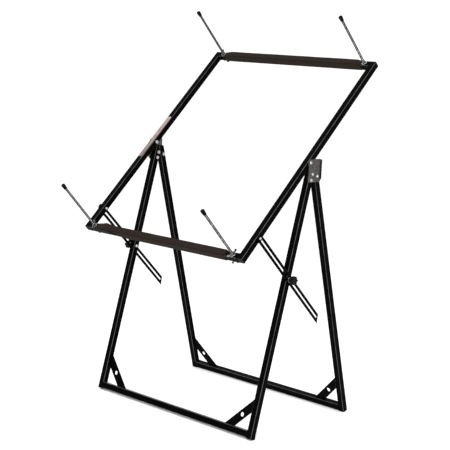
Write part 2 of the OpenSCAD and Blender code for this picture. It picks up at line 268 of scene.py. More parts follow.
def zinc(name, dark, light, low, high, grain=(1, 1, 1), flakes=260, rim=1.0):
    """Zinc plate: crystal flakes, streaks and fingerprints. Rim is its brightness at a glancing angle."""
    s = Shader(name, Metallic=0.92, Specular_Tint=(rim, rim, rim, 1))
    patches = s.grey(s.cells(flakes), 0.0, 0.6)
    streaks = s.noise(95, 5, 0.65, grain)
    mottled = s.ramp(streaks, [(0.28, dark), (0.72, light)])
    s.colour(s.mix(0.16, mottled, patches))
    s.roughness(s.grey(s.noise(120, 4, 0.65), low, high, 0.25, 0.75))
    s.bump(streaks, 0.08, 0.0003)
    s.bump(s.noise(1400, 2), 0.1, 0.00008)
    return s.material


def moulded(name, dark, light, low, high, grain=700, depth=0.00016):
    """Moulded plastic or rubber: fine spark texture, slight colour drift and dull patches."""
    s = Shader(name, Specular_IOR_Level=0.04)
    s.colour(s.ramp(s.noise(35, 4), [(0.3, dark), (0.7, light)]))
    s.roughness(s.grey(s.noise(80, 4, 0.6), low, high, 0.3, 0.7))
    s.bump(s.noise(grain, 3, 0.6), 0.35, depth)
    return s.material


def felt(name):
    """Dense brown felt: short fibres, pressed patches and lint, with painted shade darkening its rounded
    edges.
    """
    s = Shader(name, Sheen_Weight=0.03, Sheen_Roughness=0.5, Specular_IOR_Level=0.1)
    s.bsdf.inputs["Sheen Tint"].default_value = (0.42, 0.36, 0.31, 1)
    fibres = s.noise(850, 4, 0.7, (1, 0.45, 0.45))
    wear = s.noise(14, 4, 0.6)
    lint = s.ramp(s.noise(420, 6, 0.8), [(0.66, (0, 0, 0)), (0.8, (1, 1, 1))])
    deep = s.ramp(fibres, [(0.3, (0.006, 0.0035, 0.0025)), (0.7, (0.019, 0.0125, 0.009))])
    patchy = s.mix(s.grey(wear, 0.0, 0.5, 0.35, 0.7), deep, (0.013, 0.009, 0.0068))
    linted = s.mix(s.math("MULTIPLY", lint, 0.4), patchy, (0.042, 0.031, 0.024))
    # Painted shade: the felt turns nearly black along its rounded edges
    s.colour(s.mix(s.math("MULTIPLY", s.painted_light_corner_mask(normal), 0.8), linted, (0.002, 0.0013, 0.0011)))
    s.roughness(s.grey(fibres, 0.86, 1.0, 0.3, 0.7))
    s.bump(fibres, 0.6, 0.0006)
    s.bump(wear, 0.25, 0.0015)
    return s.material


def label_film(name):
    """Blank satin label film: a warm ground that pales towards its upper end, with paler speckle."""
    s = Shader(name, Specular_IOR_Level=0.2)
    low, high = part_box("blank_label")
    lower = s.ramp(s.noise(38, 4), [(0.3, (0.075, 0.058, 0.05)), (0.7, (0.185, 0.142, 0.126))])
    upper = s.ramp(s.noise(60, 4), [(0.3, (0.19, 0.14, 0.125)), (0.7, (0.36, 0.275, 0.25))])
    ground = s.mix(s.rise(low.z, high.z), lower, upper)
    s.colour(s.mix(s.grey(s.noise(900, 4, 0.7), 0.0, 0.4, 0.4, 0.7), ground, (0.27, 0.215, 0.195)))
    s.roughness(s.grey(s.noise(90, 3), 0.32, 0.5, 0.3, 0.7))
    s.bump(s.noise(60, 3), 0.2, 0.0003)
    return s.material


GLOSS = ((0.0004, 0.0003, 0.0003), (0.0016, 0.0013, 0.0013), 0.16, 0.3)
SATIN = ((0.0005, 0.0004, 0.0004), (0.002, 0.0017, 0.0017), 0.24, 0.4)
# Each tube paint carries the painted highlight lines along the corners of its own tubes
LEG_PAINT = gloss_paint("black_leg_paint", *GLOSS, face=X)
FRONT_RAIL_PAINT = gloss_paint("black_front_rail_paint", *GLOSS, face=front_up)
REAR_RAIL_PAINT = gloss_paint("black_rear_rail_paint", *GLOSS, face=rear_up)
CRADLE_PAINT = gloss_paint("black_cradle_paint", *GLOSS, face=normal)
FLAT_BAR_PAINT = gloss_paint("black_stay_paint", *SATIN)
WELD_PAINT = gloss_paint("black_weld_paint", *SATIN)
PLATE = zinc("dull_zinc_plate", (0.016, 0.0135, 0.012), (0.09, 0.08, 0.072), 0.3, 0.56,
             grain=(1, 1.6, 1), flakes=320, rim=0.35)
BOLT = zinc("bright_zinc_bolts", (0.34, 0.34, 0.33), (0.64, 0.635, 0.62), 0.16, 0.32)
WING = zinc("bright_zinc_wing_nuts", (0.02, 0.0195, 0.018), (0.23, 0.225, 0.21), 0.16, 0.3, rim=0.4)
THREAD = zinc("zinc_thread", (0.004, 0.0037, 0.0033), (0.034, 0.032, 0.029), 0.18, 0.32,
              grain=(1, 1, 0.2), rim=0.12)
TIP = moulded("black_tip_rubber", (0.0015, 0.0014, 0.0014), (0.005, 0.0048, 0.0046), 0.4, 0.6, grain=520)
PLUG = moulded("black_plug_plastic", (0.008, 0.008, 0.008), (0.014, 0.014, 0.014), 0.36, 0.52)
KNOB = moulded("black_knob_plastic", (0.003, 0.0028, 0.0028), (0.008, 0.0075, 0.0075), 0.32, 0.5,
               grain=620, depth=0.0002)
# Painted shade: the rear flanges of the hinge plates get a near-black finish instead of zinc, standing in
# for the shade on them
FLANGE_PAINTED_SHADE = moulded("flange_painted_shade", (0.008, 0.008, 0.008), (0.016, 0.015, 0.015), 0.3, 0.5, grain=500)
FELT = felt("brown_felt")
LABEL = label_film("blank_label_film")

NODE_LOOKS = {
    LEG_PAINT: ["front_left_leg", "front_right_leg", "rear_left_leg", "rear_right_leg",
                "left_side_rail", "right_side_rail"],
    FRONT_RAIL_PAINT: ["front_floor_rail"],
    REAR_RAIL_PAINT: ["rear_floor_rail"],
    CRADLE_PAINT: ["front_rail", "back_rail"],
    FLAT_BAR_PAINT: ["front_left_gusset", "front_right_gusset", "rear_left_gusset", "rear_right_gusset"],
    PLUG: ["rear_leg_plugs"],
    BOLT: ["stay_spacers"],
    LABEL: ["blank_label"],
}
NODE_SHARP_ANGLE = 60


def finish_node(node, material):
    """Gives a carried-over CAD node its material, with its rounded edges smooth and its faces flat."""
    o = frame["nodes"][node]
    mesh = o.data
    mesh.materials.clear()
    mesh.materials.append(material)
    mesh.polygons.foreach_set("use_smooth", [True] * len(mesh.polygons))
    mesh.set_sharp_from_angle(angle=math.radians(NODE_SHARP_ANGLE))
    flat = o.modifiers.new("flat_faces", "WEIGHTED_NORMAL")
    flat.weight = 100
    flat.keep_sharp = True


for look, names in NODE_LOOKS.items():
    for node in names:
        finish_node(node, look)


# ------------------------------------------------------------------ mesh helpers
def piece(name, bm, body, material, replaces=(), angle=35):
    """Turns a bmesh into a piece on a body, with a slot's finish, that may stand for CAD nodes."""
    bmesh.ops.recalc_face_normals(bm, faces=bm.faces)
    mesh = bpy.data.meshes.new(name)
    bm.to_mesh(mesh)
    bm.free()
    mesh.materials.append(material)
    mesh.polygons.foreach_set("use_smooth", [True] * len(mesh.polygons))
    mesh.set_sharp_from_angle(angle=math.radians(angle))
    o = bpy.data.objects.new(name, mesh)
    bpy.context.scene.collection.objects.link(o)
    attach(o, body)
    if replaces:
        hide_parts(*replaces)
    return o


def frame_at(origin, z_axis, x_axis=X):
    """A placing matrix whose Z is z_axis and whose X is as near x_axis as it can be."""
    z = z_axis.normalized()
    y = z.cross(x_axis).normalized()
    x = y.cross(z)
    m = Matrix((x, y, z)).transposed().to_4x4()
    m.translation = origin
    return m


def lathe(bm, profile, segments, place, reshape=None):
    """Turns (radius, height) points round Z. A radius of 0 closes an end, and reshape changes a radius."""
    rings = []
    for r, h in profile:
        if r < 1e-7:
            rings.append([bm.verts.new(place @ Vector((0, 0, h)))])
            continue
        ring = []
        for i in range(segments):
            a = math.tau * i / segments
            k = reshape(a, r, h) if reshape else r
            ring.append(bm.verts.new(place @ Vector((k * math.cos(a), k * math.sin(a), h))))
        rings.append(ring)
    for low, high in zip(rings, rings[1:]):
        for i in range(segments):
            j = (i + 1) % segments
            quad = [low[i % len(low)], low[j % len(low)], high[j % len(high)], high[i % len(high)]]
            corners = list(dict.fromkeys(quad))
            if len(corners) > 2:
                bm.faces.new(corners)
    return rings


def round_edge(r, h, edge, steps=4, top=True):
    """Profile points of a rounded rim where a side of radius r meets a flat end at height h."""
    points = []
    for i in range(steps + 1):
        a = math.pi / 2 * i / steps
        if top:
            points.append((r - edge + edge * math.cos(a), h - edge + edge * math.sin(a)))
        else:
            points.append((r - edge + edge * math.sin(a), h + edge - edge * math.cos(a)))
    return points


def bolt_head(bm, r, h, place):
    """Low domed head with a rolled rim, standing on Z = 0."""
    rim = 0.16 * h
    ball = (r * r + (h - rim) ** 2) / (2 * (h - rim))
    steps = 9
    half = math.asin(min(1, r / ball))
    dome = []
    for i in range(steps, -1, -1):
        a = half * i / steps
        dome.append((ball * math.sin(a), h - ball + ball * math.cos(a)))
    lathe(bm, [(0, 0), (r * 0.96, 0), (r, rim * 0.5)] + dome[:-1] + [(0, h)], 28, place)


def hex_nut(bm, across, h, bore, place):
    """Hexagon nut with chamfered corners and a countersunk bore."""
    point = across / math.sqrt(3)
    face = across / 2 * 0.97
    sink = bore * 1.15
    six = math.tau / 6
    chamfer = 0.1 * h
    slope = 0.14 * h

    def hexagon(a, r, _height):
        reach = across / 2 / math.cos((a % six) - six / 2)
        return min(r, reach) if r >= face else r

    profile = [(bore, chamfer), (sink, 0), (face, 0), (point, slope),
               (point, h - slope), (face, h), (sink, h), (bore, h - chamfer)]
    rings = lathe(bm, profile, 36, place, hexagon)
    bridge(bm, rings[-1], rings[0])


def bridge(bm, a, b):
    for i in range(len(a)):
        j = (i + 1) % len(a)
        bm.faces.new([a[i], a[j], b[j], b[i]])


THREAD_SEGMENTS = 18
THREAD_DEPTH = 0.372  # of the pitch


def thread(bm, r, pitch, low, high, place):
    """A true single-start helix from low to high with flat ends."""
    root = r - THREAD_DEPTH * pitch
    root_and_crest = [(0.0, root), (0.12, root), (0.45, r), (0.6, r)]
    turns = math.ceil((high - low) / pitch) + 2
    count = turns * THREAD_SEGMENTS
    grid = []
    for i in range(count + 1):
        a = math.tau * i / THREAD_SEGMENTS
        row = []
        for part, radius in root_and_crest:
            h = low - pitch + pitch * (i / THREAD_SEGMENTS + part)
            taper = min(1.0, max(0.0, (high - h) / pitch), max(0.0, (h - low) / pitch))
            k = root + (radius - root) * taper
            h = min(max(h, low), high)
            row.append(bm.verts.new(place @ Vector((k * math.cos(a), k * math.sin(a), h))))
        grid.append(row)
    for i in range(count):
        for k in range(3):
            bm.faces.new([grid[i][k], grid[i + 1][k], grid[i + 1][k + 1], grid[i][k + 1]])
        after = i + THREAD_SEGMENTS
        if after < count:
            bm.faces.new([grid[i][3], grid[i + 1][3], grid[after + 1][0], grid[after][0]])
    bmesh.ops.remove_doubles(bm, verts=[v for row in grid for v in row], dist=1e-7)
    loose = [e for e in bm.edges if e.is_valid and e.is_boundary]
    bmesh.ops.holes_fill(bm, edges=loose, sides=0)
    bmesh.ops.dissolve_degenerate(bm, edges=bm.edges, dist=1e-7)


def across_x(point, x, outward):
    """A placing matrix at an X value of a side-view point, with Z pointing to the given side."""
    return frame_at(Vector((x, point.y, point.z)), Vector((outward, 0, 0)), Vector((0, 1, 0)))


def bevelled(bm, width, segments, angle):
    """Rounds every edge that turns by more than the angle."""
    edges = [e for e in bm.edges if e.is_manifold and e.calc_face_angle(0) > math.radians(angle)]
    bmesh.ops.bevel(bm, geom=edges, offset=width, segments=segments, profile=0.5, affect="EDGES",
                    clamp_overlap=True)


def slab(bm, outline, z0, z1, place):
    """Extrudes a closed outline of (x, y) points between two heights."""
    low = [bm.verts.new(place @ Vector((x, y, z0))) for x, y in outline]
    high = [bm.verts.new(place @ Vector((x, y, z1))) for x, y in outline]
    bm.faces.new(list(reversed(low)))
    bm.faces.new(high)
    bridge(bm, low, high)


def arc(cx, cy, r, start, end, steps=6):
    """Points of an arc between two angles in degrees."""
    angles = [math.radians(start + (end - start) * i / steps) for i in range(steps + 1)]
    return [(cx + r * math.cos(a), cy + r * math.sin(a)) for a in angles]


def rounded_square(half, r, steps):
    points = []
    for k, (sx, sy) in enumerate(((1, 1), (-1, 1), (-1, -1), (1, -1))):
        points += arc(sx * (half - r), sy * (half - r), r, 90 * k, 90 * k + 90, steps)
    return points


# ------------------------------------------------------------------ bolts, nuts and washers
HEAD_H = 4.5 * MM
SMALL_HEAD_H = 3.6 * MM
M8 = 4 * MM
M6 = 3 * MM
M8_PITCH = 1.25 * MM
M6_PITCH = 1.0 * MM
M8_ACROSS = 13 * MM
M6_ACROSS = 10 * MM
THREAD_L = 11 * MM
THREAD_LAP = 1 * MM
BORE_PLAY = 1.01
WASHER_R, WASHER_BORE, WASHER_T = 10.5 * MM, 5.3 * MM, 2 * MM


def through_bolts(name, node, body, head_h, shank_r, pitch, head_outside=True):
    """Domed bolts along X, each with a plain shank and a threaded end, for each solid of a node."""
    bm = bmesh.new()
    for low, high in islands(node):
        centre = (low + high) / 2
        side = 1 if centre.x > 0 else -1
        inner, outer = sorted((abs(low.x), abs(high.x)))
        head_r = (high.y - low.y) / 2
        out = side if head_outside else -side
        seat = outer - head_h if head_outside else inner + head_h
        end = inner if head_outside else outer
        bolt_head(bm, head_r, head_h, across_x(centre, side * seat, out))
        length = abs(seat - end)
        tip = across_x(centre, side * end, out)
        lathe(bm, [(0, THREAD_L - THREAD_LAP), (shank_r, THREAD_L), (shank_r, length), (0, length)], 24, tip)
        thread(bm, shank_r, pitch, 0, THREAD_L, tip)
    piece(name, bm, body, BOLT, [node])


def hex_nuts(name, node, body, across, bolt_r):
    bm = bmesh.new()
    for low, high in islands(node):
        centre = (low + high) / 2
        hex_nut(bm, across, high.x - low.x, bolt_r * BORE_PLAY, across_x(centre, low.x, 1))
    piece(name, bm, body, BOLT, [node])


def washers(name, node, body, axis):
    """Flat washers with softly rolled rims."""
    bm = bmesh.new()
    edge = 0.35 * MM
    profile = [(WASHER_BORE, edge), (WASHER_BORE + edge, 0)] + round_edge(WASHER_R, 0, edge, 3, top=False)
    profile += round_edge(WASHER_R, WASHER_T, edge, 3)
    profile += [(WASHER_BORE + edge, WASHER_T), (WASHER_BORE, WASHER_T - edge)]
    for low, high in islands(node):
        rings = lathe(bm, profile, 36, frame_at((low + high - axis * WASHER_T) / 2, axis))
        bridge(bm, rings[-1], rings[0])
    piece(name, bm, body, BOLT, [node])


for node in ("cradle_pivot_bolts", "front_leg_bolts", "rear_pivot_bolts"):
    through_bolts(node + "_domed", node, "front_frame", HEAD_H, M8, M8_PITCH)
through_bolts("clamp_bolts_domed", "clamp_bolts", "front_frame", HEAD_H, M6, M6_PITCH,
              head_outside=False)
through_bolts("stay_pivot_bolts_domed", "stay_pivot_bolts", "cradle", SMALL_HEAD_H, M6, M6_PITCH)
hex_nuts("hinge_hex_nuts", "hinge_nuts", "front_frame", M8_ACROSS, M8)
hex_nuts("stay_hex_nuts", "stay_pivot_nuts", "cradle", M6_ACROSS, M6)
washers("rod_flat_washers", "rod_washers", "cradle", normal)

# ------------------------------------------------------------------ corner rods, tips and wing nuts
ROD_R = 5 * MM
ROD_PITCH = 1.5 * MM
TIP_R = 8 * MM
TIP_NECK_R = 7.1 * MM
TIP_SHORT = 2.5 * MM  # how much further up the rod the cap starts than its CAD solid
HUB_R = 7.5 * MM
HUB_TOP_R = 6.5 * MM
HUB_H = 10 * MM
WING_SPAN = 44 * MM
WING_T = 3 * MM
WING_H = 12 * MM
EAR_R = 4.5 * MM
# How far each wing nut is turned at rest, in degrees
UPPER_TURNS = {"front_left": 120, "back_left": 120, "front_right": 65, "back_right": 140}
LOWER_TURNS = {"front_left": 0, "back_left": 0, "front_right": 40, "back_right": 0}


def threaded_rod(corner):
    base = joint_point(f"{corner}_wing_nut_turn")
    low, high = span(f"{corner}_rod", base, normal)
    bm = bmesh.new()
    thread(bm, ROD_R, ROD_PITCH, low, high, frame_at(base, normal))
    piece(f"{corner}_threaded_rod", bm, f"{corner}_corner_rod", THREAD, [f"{corner}_rod"],
          angle=40)


def rubber_tip(corner):
    """Tapered rubber cap with a rolled lip, a shallow waist ring and a rounded end."""
    base = joint_point(f"{corner}_wing_nut_turn")
    low, high = span(f"{corner}_tip", base, normal)
    low += TIP_SHORT
    length = high - low
    lip = 0.9 * MM
    bore = ROD_R * BORE_PLAY
    profile = [(0, lip * 6), (bore, lip * 6), (bore, lip), (ROD_R * 1.1, 0), (TIP_NECK_R - 0.4 * MM, 0)]
    profile += [(TIP_NECK_R, lip * 0.5), (TIP_NECK_R, lip * 2.2), (TIP_NECK_R - 0.35 * MM, lip * 3.2)]
    for share, depth in ((0.62, 0.1 * MM), (0.65, 0.55 * MM), (0.68, 0.1 * MM)):
        profile.append((TIP_R - depth, length * share))
    profile += round_edge(TIP_R, length, 2.6 * MM, 6)
    profile += [(2.4 * MM, length), (1.9 * MM, length - 0.5 * MM), (0, length - 0.6 * MM)]
    bm = bmesh.new()
    lathe(bm, profile, 32, frame_at(base + normal * low, normal))
    piece(f"{corner}_rubber_tip", bm, f"{corner}_corner_rod", TIP, [f"{corner}_tip"],
          angle=50)


def wing(bm, place):
    """One ear of a wing nut: a waisted plate that thins towards its round outer end."""
    cx, cz = WING_SPAN / 2 - EAR_R, WING_H - EAR_R
    outline = [(4.5 * MM, 1.2 * MM), (HUB_R + 0.4 * MM, 1.6 * MM), (cx + 1.2 * MM, cz * 0.42)]
    outline += arc(cx, cz, EAR_R, -25, 190, 12)
    outline += [(cx - EAR_R * 0.86, cz * 0.72), (HUB_TOP_R, HUB_H * 0.82), (4.5 * MM, HUB_H * 0.9)]
    ear = bmesh.new()
    slab(ear, outline, -WING_T / 2, WING_T / 2, Matrix())
    bevelled(ear, 0.9 * MM, 3, 40)
    for v in ear.verts:
        reach = v.co.x / (WING_SPAN / 2)
        v.co.z *= 1.35 - 0.45 * reach
    ear.transform(place @ Matrix.Rotation(math.pi / 2, 4, "X"))
    mesh = bpy.data.meshes.new("ear")
    ear.to_mesh(mesh)
    ear.free()
    bm.from_mesh(mesh)
    bpy.data.meshes.remove(mesh)


def wing_nut(corner, kind, turn, way):
    """Wing nut on a corner rod. Way is 1 above the rail and -1 below it."""
    node = f"{corner}_{kind}_nut"
    base = joint_point(f"{corner}_wing_nut_turn")
    axis = normal * way
    low = span(node, base, axis)[0]
    place = frame_at(base + axis * low, axis) @ Matrix.Rotation(math.radians(turn * way), 4, "Z")
    bm = bmesh.new()
    bore = ROD_R * BORE_PLAY
    sink = 0.6 * MM
    profile = [(bore, sink), (bore + sink, 0)] + round_edge(HUB_R, 0, 0.7 * MM, 3, top=False)
    profile += [(HUB_R - 0.2 * MM, 2.6 * MM), (HUB_TOP_R + 0.25 * MM, 6.5 * MM)]
    profile += round_edge(HUB_TOP_R, HUB_H, 0.9 * MM, 3) + [(bore + sink, HUB_H), (bore, HUB_H - sink)]
    rings = lathe(bm, profile, 32, place)
    bridge(bm, rings[-1], rings[0])
    for half in (0, math.pi):
        wing(bm, place @ Matrix.Rotation(half, 4, "Z"))
    body = f"{corner}_upper_nut" if kind == "wing" else f"{corner}_under_nut"
    piece(f"{corner}_{kind}_nut_cast", bm, body, WING, [node], angle=50)


for corner in [f"{end}_{side}" for end in ENDS for side in SIDES]:
    threaded_rod(corner)
    rubber_tip(corner)
    wing_nut(corner, "wing", UPPER_TURNS[corner], 1)
    wing_nut(corner, "lower", LOWER_TURNS[corner], -1)

# ------------------------------------------------------------------ clamp knobs
KNOB_R = 17 * MM
KNOB_LOBES = 6
KNOB_HEAD = 20 * MM
KNOB_DISH = 1.2 * MM
LOBE_DEPTH = 2.3 * MM
COLLAR_R = 9 * MM
FLANGE_R, FLANGE_T = 11 * MM, 1.5 * MM


def knob_head(side):
    """Moulded six-lobe knob: collar, flared underside, rounded lobes and a dished face."""
    sign = SIDES[side]
    low, high = span(f"{side}_knob", Vector((0, 0, 0)), X * sign)
    length = high - low
    head = length - KNOB_HEAD

    def lobed(a, r, h):
        share = max(0.0, min(1.0, (r - COLLAR_R) / (KNOB_R - COLLAR_R))) if h > head * 0.8 else 0.0
        wave = math.cos(KNOB_LOBES * a)
        return r - share * LOBE_DEPTH * (1 - wave) * (0.75 + 0.25 * (1 - wave) / 2)

    profile = [(0, 0)] + round_edge(COLLAR_R, 0, 0.8 * MM, 3, top=False)
    profile += [(COLLAR_R, head * 0.55), (COLLAR_R + 0.7 * MM, head * 0.9)]
    profile += round_edge(KNOB_R, head + 0.1 * MM, 2.6 * MM, 5, top=False)
    profile += [(KNOB_R, length * 0.6)] + round_edge(KNOB_R, length, 3.2 * MM, 7)
    profile += [(COLLAR_R * 1.15, length), (COLLAR_R, length - 0.2 * MM)]
    profile += [(COLLAR_R * 0.86, length - KNOB_DISH), (0, length - KNOB_DISH)]
    bm = bmesh.new()
    lathe(bm, profile, 96, across_x(joint_point(f"{side}_knob_turn"), sign * low, sign), lobed)
    piece(f"{side}_lobed_knob", bm, f"{side}_clamp_knob", KNOB, [f"{side}_knob"], angle=55)


def knob_stud(side):
    """Stud with a thin pressing flange at the stay."""
    sign = SIDES[side]
    low, high = span(f"{side}_knob_stud", Vector((0, 0, 0)), X * sign)
    profile = [(0, 0)] + round_edge(FLANGE_R, 0, 0.4 * MM, 3, top=False)
    profile += round_edge(FLANGE_R, FLANGE_T, 0.4 * MM, 3)
    profile += [(M6, FLANGE_T), (M6, high - low), (0, high - low)]
    bm = bmesh.new()
    lathe(bm, profile, 36, across_x(joint_point(f"{side}_knob_turn"), sign * low, sign))
    piece(f"{side}_stud_flange", bm, f"{side}_clamp_knob", BOLT, [f"{side}_knob_stud"])


for side in SIDES:
    knob_head(side)
    knob_stud(side)

# ------------------------------------------------------------------ slotted stays
STAY_W = 28 * MM
SLOT_W = 7.5 * MM
SLOT_START = 10 * MM
SLOT_WEB = 6 * MM
MITRE = 37  # degrees
STAY_STEPS = 12


def slotted_stay(side):
    """Flat bar with a long slot. Its outer outline and its slot's have matching points, and are joined."""
    pivot = joint_point(f"{side}_stay_swing")
    clamp = joint_point(f"{side}_knob_turn")
    along = Vector((0, clamp.y - pivot.y, clamp.z - pivot.z)).normalized()
    place = frame_at(Vector((0, pivot.y, pivot.z)), X, along)
    x0, x1 = span(f"{side}_stay", Vector((0, 0, 0)), X)
    far_tip = span(f"{side}_stay", pivot, along)[1]
    lean = math.tan(math.radians(MITRE))
    middle = far_tip - STAY_W / 2 * lean
    r, s = STAY_W / 2, SLOT_W / 2
    start, stop = SLOT_START + s, middle - SLOT_WEB - s
    shares = [i / STAY_STEPS for i in range(1, STAY_STEPS)]
    outer = arc(0, 0, r, 90, 270, 12) + [(middle * share, -r) for share in shares]
    outer += [(middle - y * lean, y) for y in (-r, -r / 2, 0, r / 2, r)]
    outer += [(middle * share, r) for share in reversed(shares)]
    inner = arc(start, 0, s, 90, 270, 12) + [(start + (stop - start) * share, -s) for share in shares]
    inner += arc(stop, 0, s, -90, 90, 4)
    inner += [(start + (stop - start) * share, s) for share in reversed(shares)]
    bm = bmesh.new()
    rings = []
    for outline, x in ((outer, x0), (outer, x1), (inner, x1), (inner, x0)):
        rings.append([bm.verts.new(place @ Vector((px, py, x))) for px, py in outline])
    for k in range(4):
        bridge(bm, rings[k], rings[(k + 1) % 4])
    bmesh.ops.recalc_face_normals(bm, faces=bm.faces)
    bevelled(bm, 0.45 * MM, 2, 50)
    piece(f"{side}_slotted_bar", bm, f"{side}_stay_arm", FLAT_BAR_PAINT, [f"{side}_stay"],
          angle=40)


for side in SIDES:
    slotted_stay(side)

# ------------------------------------------------------------------ padding sleeves
PAD_STEPS = 200
PAD_EDGE_R = 4 * MM
PAD_OVERRUN = 17 * MM  # past the CAD pad's end, up to the rods
END_ROLL = 3 * MM
PRESSED_L = 10 * MM  # each way from the CAD pad's end, where the wing nuts press the felt
PRESSED_SHARE = 0.68
SKIN = 0.05 * MM  # air between the felt and the rail
HIDDEN = 0.4 * MM  # how deep in the rail's wall the tucked felt is
LOOSE_L = 140 * MM
RIDE_H, RIDE_AT, RIDE_L = 10 * MM, 43 * MM, 20 * MM  # the raised part's height, place and half length
FRONT_SIDE = -0.8  # shares of the half width below this are the sleeve's front face
FLAP_EDGE, FLAP_LIFT = 7 * MM, 4 * MM
TUCK, TUCK_L = 5 * MM, 14 * MM  # how far the front sleeve's right end is drawn back at its sides
SEEDS = {"front": 3.0, "back": 11.0}


def clamped(value):
    return min(1.0, max(0.0, value))


def sleeve_outline(half_w, top, bottom, r):
    """Rounded rectangle as (across, up) points with its long sides divided, from the back side round."""
    points = []
    for cx, cy, start in ((half_w - r, top - r, 0), (r - half_w, top - r, 90),
                          (r - half_w, bottom + r, 180), (half_w - r, bottom + r, 270)):
        points += arc(cx, cy, r, start, start + 90, 4)
    divided = []
    for (ax, ay), (bx, by) in zip(points, points[1:] + points[:1]):
        count = 10 if abs(bx - ax) + abs(by - ay) > 6 * MM else 1
        divided += [(ax + (bx - ax) * i / count, ay + (by - ay) * i / count) for i in range(count)]
    return divided


def foam_lump(x, side, h, seed):
    """Slow and quick swellings along a sleeve, to either side of 0."""
    slow = noise.noise(Vector((x * 22, side * 1.6, h * 60 + seed)))
    quick = noise.noise(Vector((x * 75, side * 3, h * 90 + seed + 5)))
    return slow + 0.5 * quick


def loosened(outer, inner, side, h, loose):
    """Tucks both skins out of sight in the rail where the flap is off it, and lifts the edge above that."""
    bare_below = TUBE_HALF * min(0.92, 3.4 * loose - 1)
    if side < FRONT_SIDE and h < bare_below or h < -TUBE_HALF:
        outer = [max(along, HIDDEN - TUBE_HALF) for along in outer]
        inner = [along * 0.97 for along in outer]
    elif side < FRONT_SIDE and h < bare_below + FLAP_EDGE:
        outer = (outer[0] - FLAP_LIFT * min(1.0, 3 * loose), outer[1])
    return outer, inner


def padding_sleeve(end):
    """Felt-covered foam round an end rail: crowned on top, thin elsewhere and beside the wing nuts.

    The front sleeve's left end has come loose: its top rides up and its front flap is off the rail.
    """
    node = f"{end}_pad"
    front = end == "front"
    low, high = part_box(node)
    x0, x1 = low.x - PAD_OVERRUN, high.x + (0 if front else PAD_OVERRUN)
    u0, u1 = span(node, tilt, along_rail)
    h0, h1 = span(node, tilt, normal)
    half_w = (u1 - u0) / 2
    centre_h = h0 + half_w
    top, bottom = h1 - centre_h, h0 - centre_h
    rail = Vector((0, tilt.y, tilt.z)) + along_rail * (u0 + u1) / 2
    place = frame_at(rail + normal * centre_h, normal)
    outside = sleeve_outline(half_w, top, bottom, PAD_EDGE_R)
    inside = sleeve_outline(TUBE_HALF + SKIN, TUBE_HALF + SKIN, -TUBE_HALF - SKIN, TUBE_R)
    bm = bmesh.new()
    outer_rings, inner_rings = [], []
    for i in range(PAD_STEPS + 1):
        x = x0 + (x1 - x0) * i / PAD_STEPS
        from_end = min(x - x0, x1 - x)
        roll = math.sqrt(max(0.0, 1 - max(0.0, 1 - from_end / END_ROLL) ** 2))
        pressed = clamped((abs(x) - high.x + PRESSED_L) / (2 * PRESSED_L))
        loose = clamped(1 - (x - low.x) / LOOSE_L) if front else 0.0
        ride = RIDE_H * math.exp(-((x - low.x - RIDE_AT) / RIDE_L) ** 2) if front else 0.0
        tuck = TUCK * max(0.0, 1 - from_end / TUCK_L) if front and x > 0 else 0.0
        outer_ring, inner_ring = [], []
        for (w, h), inner in zip(outside, inside):
            side = w / half_w
            fill = (0.3 + 0.7 * roll) * (0.9 + 0.07 * foam_lump(x, side, h, SEEDS[end]))
            if h > TUBE_HALF:
                fill *= (0.88 + 0.12 * (1 - side * side)) * (1 - PRESSED_SHARE * pressed)
            outer = (inner[0] + (w - inner[0]) * fill, inner[1] + (h - inner[1]) * fill)
            if h > 0:
                outer = (outer[0], outer[1] + ride * (0.55 + 0.45 * side) * h / top)
            if loose > 0:
                outer, inner = loosened(outer, inner, side, h, loose)
            at = x - tuck * abs(side)
            outer_ring.append(bm.verts.new(place @ Vector((at, *outer))))
            inner_ring.append(bm.verts.new(place @ Vector((at, *inner))))
        outer_rings.append(outer_ring)
        inner_rings.append(inner_ring)
    for rings in (outer_rings, inner_rings):
        for a, b in zip(rings, rings[1:]):
            bridge(bm, a, b)
    bridge(bm, outer_rings[0], inner_rings[0])
    bridge(bm, outer_rings[-1], inner_rings[-1])
    o = piece(f"{end}_felt_sleeve", bm, "cradle", FELT, [node], angle=70)


for end in ENDS:
    padding_sleeve(end)

# ------------------------------------------------------------------ hinge plates
PLATE_T = 3 * MM
BEND_R = 3.4 * MM
NOTCH = 1.2 * MM
CORNER_CUT = 12  # degrees left off the web's bottom corners, beside the flanges
SIDE_VIEW = Matrix(((0, 0, 1, 0), (1, 0, 0, 0), (0, 1, 0, 0), (0, 0, 0, 1)))  # (x, y, z) to (z, x, y)
PLATE_R = {"top_front": 14 * MM, "top_rear": 3 * MM, "bottom": 10 * MM}
# How far short of the plate's bottom and top each flange stops
FLANGE = {"front": (8 * MM, 24 * MM), "rear": (10 * MM, 3 * MM)}


def l_profile(edge, inside, face, out):
    """Bent flange seen from above, as (x, y) points: a short web, a round bend and the flange."""
    way = 1 if inside > edge else -1
    web = BEND_R + 2 * MM
    inner_r = 0.6 * MM
    points = [(face, web)] + arc(face + BEND_R, BEND_R, BEND_R, 180, 270)
    points += [(out, 0), (out, PLATE_T)]
    points += arc(face + PLATE_T + inner_r, PLATE_T + inner_r, inner_r, 270, 180, 3)
    points.append((face + PLATE_T, web))
    return [(x, edge + way * y) for x, y in points]


